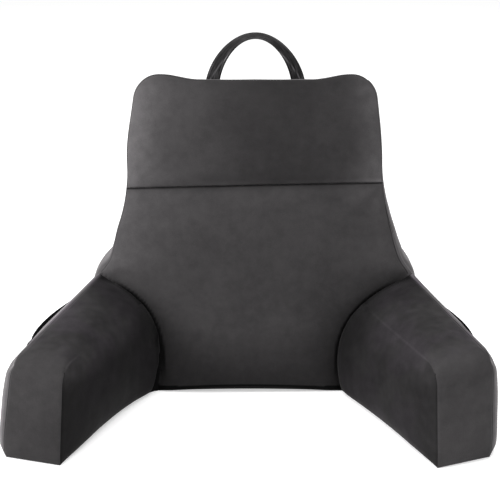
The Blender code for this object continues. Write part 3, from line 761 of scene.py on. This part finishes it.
def settle(piece, held, give):
    """Blows the cushion up inside its cover with Blender's cloth, for a few frames, and keeps the result.
    held are the points that don't move. give is how far each other point may move."""
    before = coordinates(piece.data)
    group = piece.vertex_groups.new(name="sewn")
    group.add([int(i) for i in np.flatnonzero(held)], 1.0, "REPLACE")
    cover = piece.modifiers.new("cover", "CLOTH")
    cover.point_cache.frame_end = SIM_FRAMES
    cloth = cover.settings
    cloth.quality = 6
    cloth.mass = 0.25
    cloth.tension_stiffness = cloth.compression_stiffness = 18
    cloth.shear_stiffness = 8
    cloth.bending_stiffness = 0.6
    cloth.air_damping = 4
    cloth.vertex_group_mass = group.name
    cloth.use_pressure = True
    cloth.uniform_pressure_force = SIM_PRESSURE
    cloth.effector_weights.gravity = 0
    cover.collision_settings.use_collision = False
    scene = bpy.context.scene
    for frame in range(1, SIM_FRAMES + 1):
        scene.frame_set(frame)
    graph = bpy.context.evaluated_depsgraph_get()
    moves = coordinates(piece.evaluated_get(graph).data) - before
    piece.modifiers.remove(cover)
    piece.vertex_groups.remove(group)
    scene.frame_set(1)
    far = np.linalg.norm(moves, axis=1)
    kept = give * np.tanh(far / np.maximum(give, SMALL)) / np.maximum(far, SMALL)
    set_coordinates(piece.data, before + moves * kept[:, None])


def seam_points(spots, mesh_edges, on_seam):
    """Points every half millimetre or so along the sewn grid lines."""
    ends = mesh_edges[on_seam]
    start, stop = spots[ends[:, 0]], spots[ends[:, 1]]
    steps = np.maximum(np.ceil(np.linalg.norm(stop - start, axis=1) / SEAM_SAMPLE), 1).astype(int)
    dense = []
    for a, b, count in zip(start, stop, steps):
        dense.append(a + (b - a) * (np.arange(count) / count)[:, None])
    return np.concatenate(dense)


def distance_to(tree, spots):
    """Each spot's distance to the nearest of the tree's points, and which one that is."""
    found = [tree.find(spot) for spot in spots]
    return np.array([hit[2] for hit in found]), np.array([hit[1] for hit in found])


def tree_of(spots):
    tree = kdtree.KDTree(len(spots))
    for i, spot in enumerate(spots):
        tree.insert(spot, i)
    tree.balance()
    return tree


def noise_at(spots, size):
    return np.array([noise.noise(Vector(spot / size)) for spot in spots])


def sew(piece, seams, faint_seams, steady, valley):
    """Draws the seams in: a groove along each, and short puckers that run square to it. Between them the
    filling is a little uneven. steady is 0 where the surface has to stay where it is and 1 elsewhere, and
    valley is each point's distance to a seam that lies across the panel."""
    mesh = piece.data
    spots = coordinates(mesh)
    away = read_rows(mesh.vertex_normals, "vector")
    lines = edge_ends(mesh)
    distance = np.full(len(spots), NO_SEAM)
    pucker = np.zeros(len(spots))
    for on_seam, extra in ((seams, 0.0), (faint_seams, FAINT_SEAM)):
        sewn = on_seam[lines].all(axis=1)
        if not sewn.any():
            continue
        stitched = seam_points(spots, lines, sewn)
        far, which = distance_to(tree_of(stitched), spots)
        wave = noise_at(stitched, PUCKER_SPACING)[which]
        nearer = far + extra < distance
        pucker = np.where(nearer, wave, pucker)
        distance = np.minimum(distance, far + extra)
    distance = np.minimum(distance, valley)
    groove = GROOVE_DEPTH * np.exp(-((distance / GROOVE_HALF_WIDTH) ** 2))
    reach = distance / PUCKER_REACH
    puckers = PUCKER_HEIGHT * pucker * reach * np.exp(1 - reach) * (reach < PUCKER_END)
    lumps = LUMP_HEIGHT * noise_at(spots, LUMP_SIZE) + RIPPLE_HEIGHT * noise_at(spots, RIPPLE_SIZE)
    inner = smooth_step(distance / LUMP_SIZE * 2)
    set_coordinates(mesh, spots + away * (puckers * steady + lumps * inner * steady - groove)[:, None])
    add_attribute(mesh, "seam", distance)


def add_cushion(name, cuts, surface, mirrored, panel_nap_and_sheen, plan):
    """One filled cushion. The panel values give each panel's nap and painted sheen, by its axis and end. plan
    tells which points are sewn, which are held, how far each gives, which stay put, and the painted light and
    shade on the pile. What it leaves out is the same everywhere."""
    grid, quads, panels = box_lattice(cuts)
    grid = bunched(grid)
    spots = surface(*panel_places(grid))
    piece = add_mesh(name, spots, quads[:, ::-1] if mirrored else quads)
    mesh = piece.data
    add_attribute(mesh, "grid", grid, kind="FLOAT_VECTOR")
    add_attribute(mesh, "nap_and_sheen", np.array(panel_nap_and_sheen)[panels], domain="FACE")
    sides = np.isclose(np.abs(grid), 1)
    creased = sides[edge_ends(mesh)].all(axis=1).sum(axis=1) > 1
    add_attribute(mesh, "crease_edge", creased, domain="EDGE")
    first = plan(grid, spots)
    settle(piece, first["held"], first["give"])
    smooth = piece.modifiers.new("smooth", "SUBSURF")
    smooth.levels = smooth.render_levels = 1
    freeze(piece)
    mesh = piece.data
    grid = read_rows(mesh.attributes["grid"].data, "vector")
    everywhere = np.ones(len(grid))
    fine = {
        "faint": everywhere < 0,
        "valley": everywhere * NO_SEAM,
        "rim": everywhere,
        "tint": everywhere * 0,
    }
    fine.update(plan(grid, coordinates(mesh)))
    sew(piece, fine["seams"], fine["faint"], fine["steady"], fine["valley"])
    for name in ("brush", "rim", "tint"):
        add_attribute(mesh, name, fine[name])
    mesh.set_sharp_from_angle(angle=SHARP_ANGLE)
    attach(piece, "root")
    return piece


def on_panels(grid):
    """Which grid points are on each of the box's six sides, in the order of the lattice's panels."""
    return [np.isclose(grid[:, axis], end, atol=GRID_SLACK) for axis in range(3) for end in (-1, 1)]


def flush_fade(front, distance):
    """0 where a rear, side or foot panel runs on into the next cushion, 1 away from there."""
    return smooth_step(np.where(front, JOINT_FADE, distance) / JOINT_FADE)


def back_give(front, rear):
    return np.where(front, FRONT_GIVE, np.where(rear, REAR_GIVE, SIDE_GIVE))


def edge_shade(brightness, distance, reach):
    """A painted shade at an edge: a brightness there, and 1 at a reach away from it."""
    return blend(brightness, 1.0, smooth_step(distance / reach))


def back_plan(grid, spots):
    left, right, front, rear, foot, joint = on_panels(grid)
    u, v, w = panel_places(grid)
    across, up = spots[:, 0], spots[:, 2]
    side = left | right
    high = up > SHOULDER_HEIGHT - SHOULDER_SLACK
    to_valley = distance_to_root_seam(across, up)
    under_arm = front & (to_valley <= 0)
    banded = right & (up < NECK_BAND[-2][0])
    seams = (side & front & high & ~banded) | (side & rear) | (foot & (side | front | rear))
    seams |= front & joint
    to_joint = (1 - w) * SEAM_HEIGHT
    to_arm = np.where(side & ~high, v * (REAR_FOOT_Y - FRONT_FOOT_Y), JOINT_FADE)
    fade = flush_fade(front, to_joint) * smooth_step(to_arm / JOINT_FADE)
    valley = np.where(front & (to_valley > 0), to_valley, NO_SEAM)
    band = np.where(front & high & (u > 0), table_value(NECK_BAND, up), 0.0)
    to_band = (1 - u) * table_value(BACK_OUTLINE, up) - band
    valley = np.where(band > SMALL, np.minimum(valley, np.abs(to_band)), valley)
    in_band = np.where(band > SMALL, 1 - smooth_step(to_band / EDGE_STRIP + 0.5), 0.0)
    # painted light across the front panel, and a painted sheen on the neck band
    brush = blend(table_value(BACK_PAINTED_LIGHT, u), NECK_PAINTED_SHEEN, in_band)
    height = up - foot_lift(u, v, w)
    under_shoulder = SHOULDER_HEIGHT - height
    near_arm = (1 - smooth_step(to_valley / VALLEY_REACH)) * smooth_step(under_shoulder / VALLEY_REACH)
    in_fold = 1 - smooth_step((to_valley - FOLD_START) / (FOLD_END - FOLD_START))
    in_fold *= smooth_step(under_shoulder / FOLD_TOP_FADE) * smooth_step(height / FOLD_FOOT_FADE)
    # painted shade towards the floor, beside an arm, in the fold against it and under the head's seam; the
    # front panel is black along its lifted foot edge
    low = edge_shade(FOOT_PAINTED_SHADE, height, FOOT_REACH) * blend(1.0, VALLEY_PAINTED_SHADE, near_arm)
    front_low = edge_shade(BROW_PAINTED_SHADE, to_joint, BROW_REACH) * blend(1.0, FOLD_PAINTED_SHADE, in_fold)
    front_low = np.where(height < BASE_REACH, BASE_BRIGHTNESS, low * front_low)
    return {
        "seams": seams,
        "held": seams | (side & front & high) | foot | joint | under_arm,
        "give": back_give(front, rear) * fade,
        "steady": fade * ~foot,
        "valley": valley,
        "brush": np.where(front, brush * front_low, low),
    }


def head_plan(grid, spots):
    left, right, front, rear, joint, top = on_panels(grid)
    u, _, w = panel_places(grid)
    seams = (front | rear) & (left | right | top) | (front & joint)
    tall = TOP_MIDDLE_HEIGHT - SEAM_HEIGHT
    fade = flush_fade(front, w * tall)
    lip = (1 - smooth_step(w * tall / LIP_REACH)) * smooth_step((u - LIP_START) / (LIP_END - LIP_START))
    # painted light across the front panel, a painted highlight above the seam and painted shade along the top
    brush = table_value(HEAD_PAINTED_LIGHT, u) * blend(1.0, LIP_PAINTED_HIGHLIGHT, lip)
    return {
        "seams": seams,
        "held": seams | joint,
        "give": back_give(front, rear) * fade,
        "steady": fade,
        "brush": np.where(front, brush, 1.0) * edge_shade(TOP_PAINTED_SHADE, (1 - w) * tall, TOP_REACH),
    }


def arm_plan(side, grid, spots):
    inner, outer, root, front, foot, top = on_panels(grid)
    u, along, w = panel_places(grid)
    to_root, _, to_top, to_inner, to_outer = arm_distances(u, along, w)
    seams = (inner & front) | (outer & front) | (foot & (inner | outer | front)) | (root & (inner | top))
    fade = flush_fade(~outer, to_root)
    strip_wide = EDGE_STRIP * smooth_step((1 - along) / EDGE_STRIP_END)

    # painted light and shade on the arm's inner panel, top strip and front end, with random mottled patches
    low_root, low_front, start, halfway, end = ARM_PAINTED_LIGHT[side]
    low = blend(low_root, low_front, smooth_step(along * 2))
    strip = blend(start, halfway, smooth_step(along * 2))
    forward = smooth_step((along - ARM_PAINTED_LIGHT_FRONT) / (1 - ARM_PAINTED_LIGHT_FRONT))
    brush = np.where(
        inner & ~top,
        blend(strip, low, smooth_step(to_top / ARM_PAINTED_LIGHT_REACH)),
        blend(strip, end, np.where(front, 1.0, forward)),
    )
    from_fold = (to_root - ROOT_SHADE_START) / (ROOT_SHADE_END - ROOT_SHADE_START)
    brush *= blend(ROOT_SHADE, 1.0, smooth_step(from_fold))
    mottled = sum(amount * noise_at(spots, size) for size, amount in MOTTLES)
    brush *= 1 + mottled * np.where(front, 0.0, np.where(top, 1 - forward, 1.0))
    to_faint = np.where(top, to_inner, np.where(inner, to_top, NO_SEAM))
    shown = 1 - smooth_step(to_faint / FAINT_REACH)
    for inside in (along - FAINT_START, FAINT_END - along):
        shown *= smooth_step(inside / FAINT_FADE)
    brush *= 1 + FAINT_LIGHT[side] * shown
    # painted sheen on the strip where the outer panel comes over onto the top
    over_edge = 1 - smooth_step((to_outer - strip_wide) / EDGE_STRIP + 0.5)
    brush = np.where(top & ~front, blend(brush, EDGE_PAINTED_SHEEN, over_edge), brush)
    return {
        "seams": seams,
        "faint": inner & top & (side == "right"),
        "held": seams | root | foot | (outer & top),
        "give": np.where(outer, ARM_SIDE_GIVE, ARM_GIVE) * fade,
        "steady": np.where(outer, ARM_SIDE_LUMPS, 1.0) * fade * ~foot,
        "valley": np.where(top, np.abs(to_outer - strip_wide), NO_SEAM),
        "brush": np.where(outer & ~top & ~front, 1.0, brush),
        "rim": smooth_step(to_root / ROOT_RIM_END),
        "tint": np.where(top | inner, 1 - forward, 0.0),
    }


def add_strap(frames):
    """The handle: cloth folded over on itself and stitched along both edges, swept along the loop."""
    half, thick = HANDLE_WIDTH / 2, HANDLE_THICKNESS / 2
    section = []
    for turn in np.linspace(0, 2 * math.pi, STRAP_SECTION, endpoint=False):
        across = math.copysign(abs(math.cos(turn)) ** STRAP_SQUARENESS, math.cos(turn))
        through = math.copysign(abs(math.sin(turn)) ** STRAP_SQUARENESS, math.sin(turn))
        dip = STITCH_DIP * math.exp(-(((1 - abs(across)) * half - STITCH_INSET) / STITCH_WIDTH) ** 2)
        section.append((across * half, through * (thick - dip), abs(across)))
    spots, edge, fold, streak = [], [], [], []
    fold_foot, fold_top, fold_reach = STRAP_FOLD
    for ring, (middle, width, depth) in enumerate(frames):
        turn = math.pi * ring / (len(frames) - 1)
        fold_place = half * blend(fold_foot, fold_top, min(math.sin(turn) / fold_reach, 1.0))
        for across, through, share in section:
            spots.append(middle + width * across + depth * through)
            edge.append((1 - share) * half)
            fold.append(across - fold_place)
            streak.append((across * STREAKS[0], turn * HANDLE_RISE * STREAKS[1], 0.0))
    count = len(section)
    faces = []
    for ring in range(len(frames) - 1):
        for i in range(count):
            a, b = ring * count + i, ring * count + (i + 1) % count
            faces.append((a, b, b + count, a + count))
    last = (len(frames) - 1) * count
    faces += [tuple(range(count))[::-1], tuple(range(last, last + count))]
    strap = add_mesh("handle_loop", spots, faces)
    add_attribute(strap.data, "edge", edge)
    add_attribute(strap.data, "fold", fold)
    add_attribute(strap.data, "streak", streak, kind="FLOAT_VECTOR")
    return strap


def handle_frames():
    """The middle line of the handle's strap with its width and thickness directions, end to end."""
    seam_u = np.array([HANDLE_HALF_SPAN / BACK_OUTLINE[-1][1]])
    root = head_base(seam_u, np.ones(1), np.ones(1))[0]
    root[0] = HANDLE_SHIFT
    reach = TO_THE_RIGHT * HANDLE_HALF_SPAN
    frames = []
    for turn in np.linspace(0.0, math.pi, HANDLE_STEPS + 1):
        across = math.cos(turn) * (1 - HANDLE_TAPER * math.sin(turn))
        middle = root - reach * across + UP_THE_BACK * HANDLE_RISE * math.sin(turn)
        round_the_loop = UP_THE_BACK * math.sin(turn) - TO_THE_RIGHT * math.cos(turn)
        twist = blend(HANDLE_FOOT_TWIST, HANDLE_TOP_TWIST, abs(math.sin(turn)))
        width = round_the_loop * math.cos(twist) + THROUGH_THE_BACK * math.sin(twist)
        depth = THROUGH_THE_BACK * math.cos(twist) - round_the_loop * math.sin(twist)
        frames.append((middle, width, depth))
    return frames


def add_pocket(side):
    columns, rows = POCKET_CUTS
    along, up = np.meshgrid(np.linspace(0, 1, columns + 1), np.linspace(0, 1, rows + 1), indexing="ij")
    spots = pocket_place(side, along.ravel(), up.ravel())
    quads = grid_quads(np.arange(len(spots)).reshape(columns + 1, rows + 1))
    pocket = add_mesh("pocket_sheet_" + side, spots, quads if side == "left" else quads[:, ::-1])
    add_attribute(pocket.data, "up", up)
    cloth = pocket.modifiers.new("cloth", "SOLIDIFY")
    cloth.thickness = POCKET_CLOTH
    cloth.offset = 1.0
    freeze(pocket)
    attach(pocket, "root")
    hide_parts("pocket_" + side)
    return pocket


# Materials


def set_inputs(node, values):
    for name, value in values.items():
        node.inputs[name].default_value = value


def new_material(name, roughness, sheen, sheen_roughness, sheen_tint):
    made = bpy.data.materials.new(name)
    made.use_nodes = True
    tree = made.node_tree
    shader = tree.nodes["Principled BSDF"]
    looks = {"Roughness": roughness, "Sheen Weight": sheen, "Sheen Roughness": sheen_roughness}
    set_inputs(shader, looks | {"Specular IOR Level": SPECULAR, "Sheen Tint": (*sheen_tint, 1.0)})
    return made, tree, shader, add_node(tree, "ShaderNodeTexCoord").outputs["Object"]


def add_node(tree, kind, **settings):
    node = tree.nodes.new(kind)
    for name, value in settings.items():
        setattr(node, name, value)
    return node


def cloth_noise(tree, coordinate, scale, detail, roughness=0.55):
    node = add_node(tree, "ShaderNodeTexNoise")
    set_inputs(node, {"Scale": scale, "Detail": detail, "Roughness": roughness})
    tree.links.new(coordinate, node.inputs["Vector"])
    return node.outputs["Fac"]


def math_node(tree, operation, *values):
    node = add_node(tree, "ShaderNodeMath", operation=operation)
    for socket, value in zip(node.inputs, values):
        if isinstance(value, (int, float)):
            socket.default_value = value
        else:
            tree.links.new(value, socket)
    return node.outputs[0]


def times(tree, first, second):
    return math_node(tree, "MULTIPLY", first, second)


def plus(tree, first, second):
    return math_node(tree, "ADD", first, second)


def away_from(tree, value, place):
    return math_node(tree, "ABSOLUTE", math_node(tree, "SUBTRACT", value, place))


def ramp(tree, value, low, high, start=0.0, end=1.0):
    node = add_node(tree, "ShaderNodeMapRange")
    set_inputs(node, {"From Min": low, "From Max": high, "To Min": start, "To Max": end})
    tree.links.new(value, node.inputs["Value"])
    return node.outputs["Result"]


def mixed(tree, share, first, second):
    node = add_node(tree, "ShaderNodeMix", data_type="RGBA")
    tree.links.new(share, node.inputs["Factor"])
    for socket, value in ((node.inputs[6], first), (node.inputs[7], second)):
        if isinstance(value, tuple):
            socket.default_value = (*value, 1.0)
        else:
            tree.links.new(value, socket)
    return node.outputs[2]


def attribute(tree, name, output="Fac"):
    return add_node(tree, "ShaderNodeAttribute", attribute_name=name).outputs[output]


def finish_cloth(tree, shader, colour, brightness, height, strength, depth):
    """Gives the shader its colour at this brightness, and a bump of this height."""
    scaled = add_node(tree, "ShaderNodeVectorMath", operation="SCALE")
    tree.links.new(colour, scaled.inputs[0])
    tree.links.new(brightness, scaled.inputs["Scale"])
    tree.links.new(scaled.outputs[0], shader.inputs["Base Color"])
    bump = add_node(tree, "ShaderNodeBump")
    set_inputs(bump, {"Strength": strength, "Distance": depth})
    tree.links.new(height, bump.inputs["Height"])
    tree.links.new(bump.outputs["Normal"], shader.inputs["Normal"])


def velour():
    """Short pile: dark, with a soft sheen, brushed patches, fine fibres and a thin line along a seam. Its
    colour also carries the cushions' painted light and shade, and a painted sheen that is brighter seen from
    the side.
    """
    made, tree, shader, place = new_material("velour", *VELOUR_SURFACE)
    patches = cloth_noise(tree, place, PATCH_SCALE, 3.0)
    strokes = cloth_noise(tree, place, STROKE_SCALE, 4.0, 0.6)
    fibres = cloth_noise(tree, place, FIBRE_SCALE, 2.0)
    brushed = plus(tree, times(tree, patches, 0.6), times(tree, strokes, 0.4))
    colour = mixed(tree, ramp(tree, brushed, *PATCH_RANGE), VELOUR_DARK, VELOUR_LIGHT)
    tint = add_node(tree, "ShaderNodeVectorMath", operation="MULTIPLY")
    tree.links.new(colour, tint.inputs[0])
    tint.inputs[1].default_value = PATCH_TINT
    tinted = ramp(tree, cloth_noise(tree, place, TINT_SCALE, 3.0), *TINT_RANGE)
    colour = mixed(tree, times(tree, tinted, attribute(tree, "tint")), colour, tint.outputs[0])
    line = ramp(tree, attribute(tree, "seam"), *SEAM_LINE, SEAM_SHADE)
    # painted sheen: the colour is brighter where the surface is seen from the side, except where the rim
    # attribute is low near an arm's root
    facing = add_node(tree, "ShaderNodeLayerWeight").outputs["Facing"]
    rim = ramp(tree, facing, RIM_START, 1.0, 0.0, RIM_LIGHT - 1)
    rim = plus(tree, times(tree, rim, attribute(tree, "rim")), 1.0)
    # nap, painted sheen and painted light and shade from the cushions' points, with the arms' random mottle
    nap_and_painted_light = times(tree, attribute(tree, "nap_and_sheen"), attribute(tree, "brush"))
    grain = ramp(tree, fibres, *GRAIN_RANGE)
    shade = times(tree, times(tree, times(tree, line, nap_and_painted_light), rim), grain)
    pile = plus(tree, times(tree, fibres, 0.5), times(tree, strokes, 0.9))
    finish_cloth(tree, shader, colour, shade, pile, *VELOUR_BUMP)
    return made


def strap_velour():
    """The same pile on the handle, with a row of stitches along each edge."""
    made, tree, shader, place = new_material("strap_velour", *STRAP_SURFACE)
    patches = cloth_noise(tree, place, STRAP_PATCH_SCALE, 4.0)
    fibres = cloth_noise(tree, place, FIBRE_SCALE, 2.0)
    colour = mixed(tree, ramp(tree, patches, *STRAP_RANGE), STRAP_DARK, STRAP_LIGHT)
    from_row = away_from(tree, attribute(tree, "edge"), STITCH_INSET)
    row = ramp(tree, from_row, *STITCH_LINE, STITCH_LIGHT)
    fold = ramp(tree, away_from(tree, attribute(tree, "fold"), 0.0), *FOLD_LINE, FOLD_LIGHT)
    lanes = cloth_noise(tree, attribute(tree, "streak", "Vector"), 1.0, 3.0, 0.7)
    streaks = ramp(tree, lanes, *STREAK_RANGE)
    shade = times(tree, times(tree, row, fold), streaks)
    finish_cloth(tree, shader, colour, shade, plus(tree, fibres, patches), *STRAP_BUMP)
    return made


def woven_cloth():
    """Plain black cloth: fine crossing threads, and a turned and stitched hem along its mouth."""
    made, tree, shader, place = new_material("pocket_cloth", *POCKET_SURFACE)
    threads = []
    for direction in ("Y", "Z"):
        wave = add_node(tree, "ShaderNodeTexWave", wave_type="BANDS", bands_direction=direction)
        set_inputs(wave, {"Scale": THREAD_SCALE, "Distortion": 0.6})
        tree.links.new(place, wave.inputs["Vector"])
        threads.append(wave.outputs["Fac"])
    colour = mixed(tree, cloth_noise(tree, place, WORN_SCALE, 4.0), POCKET_DARK, POCKET_LIGHT)
    from_row = away_from(tree, attribute(tree, "up"), MOUTH_STITCH)
    row = ramp(tree, from_row, *MOUTH_LINE, MOUTH_SHADE)
    finish_cloth(tree, shader, colour, row, plus(tree, times(tree, *threads), row), *POCKET_BUMP)
    return made


# The studio


def add_floor():
    half = FLOOR_HALF
    corners = [(-half, -half, 0), (half, -half, 0), (half, half, 0), (-half, half, 0)]
    floor = add_mesh("floor", corners, [(0, 1, 2, 3)])
    paint = bpy.data.materials.new("pale_floor")
    paint.use_nodes = True
    shader = paint.node_tree.nodes["Principled BSDF"]
    set_inputs(shader, {"Base Color": (0.93, 0.93, 0.93, 1.0), "Roughness": 0.9})
    set_inputs(shader, {"Emission Color": (1.0, 1.0, 1.0, 1.0), "Emission Strength": FLOOR_GLOW})
    floor.data.materials.append(paint)
    floor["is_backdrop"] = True


def add_light(name, place, target, size, power):
    data = bpy.data.lights.new(name, "AREA")
    data.shape = "SQUARE"
    data.size = size
    data.energy = power
    lamp = add_object(name, data)
    lamp.location = place
    lamp.rotation_euler = (Vector(target) - Vector(place)).to_track_quat("-Z", "Y").to_euler()


def add_camera():
    data = bpy.data.cameras.new("camera")
    data.sensor_width = 36.0
    data.lens = CAMERA_LENS
    camera = add_object("camera", data)
    back = Vector((0.0, -math.cos(CAMERA_ELEVATION), math.sin(CAMERA_ELEVATION)))
    camera.location = Vector(CAMERA_TARGET) + back * CAMERA_DISTANCE
    camera.rotation_euler = back.to_track_quat("Z", "Y").to_euler()
    bpy.context.scene.camera = camera


def add_world():
    world = bpy.data.worlds.new("studio")
    world.use_nodes = True
    background = world.node_tree.nodes["Background"]
    set_inputs(background, {"Color": (1.0, 1.0, 1.0, 1.0), "Strength": WORLD_LIGHT})
    bpy.context.scene.world = world


def main():
    bpy.context.scene.view_settings.view_transform = "Standard"
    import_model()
    cad_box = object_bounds()
    add_world()
    add_floor()
    add_camera()
    for name, place, size, power in LIGHTS:
        add_light(name, place, LIT_PLACE, size, power)
    pile = velour()
    head = add_cushion("head_cushion", HEAD_CUTS, head_surface, False, HEAD_NAP_AND_SHEEN, head_plan)
    back = add_cushion("back_cushion", BACK_CUTS, lower_surface, False, BACK_NAP_AND_SHEEN, back_plan)
    pieces = [(head, "head_section"), (back, "back_section")]
    for side in ("left", "right"):
        surface = functools.partial(arm_surface, side)
        plan = functools.partial(arm_plan, side)
        arm = add_cushion("arm_" + side + "_cushion", ARM_CUTS, surface, side == "right", ARM_NAP_AND_SHEEN, plan)
        pieces.append((arm, "arm_" + side))
    for piece, node in pieces:
        piece.data.materials.append(pile)
        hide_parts(node)
    strap = add_strap(handle_frames())
    strap.data.materials.append(strap_velour())
    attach(strap, "root")
    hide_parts("handle_strap")
    cloth = woven_cloth()
    for side in ("left", "right"):
        add_pocket(side).data.materials.append(cloth)
    size = {"cad": [list(corner) for corner in cad_box], "visual": [list(corner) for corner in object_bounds()]}


main()
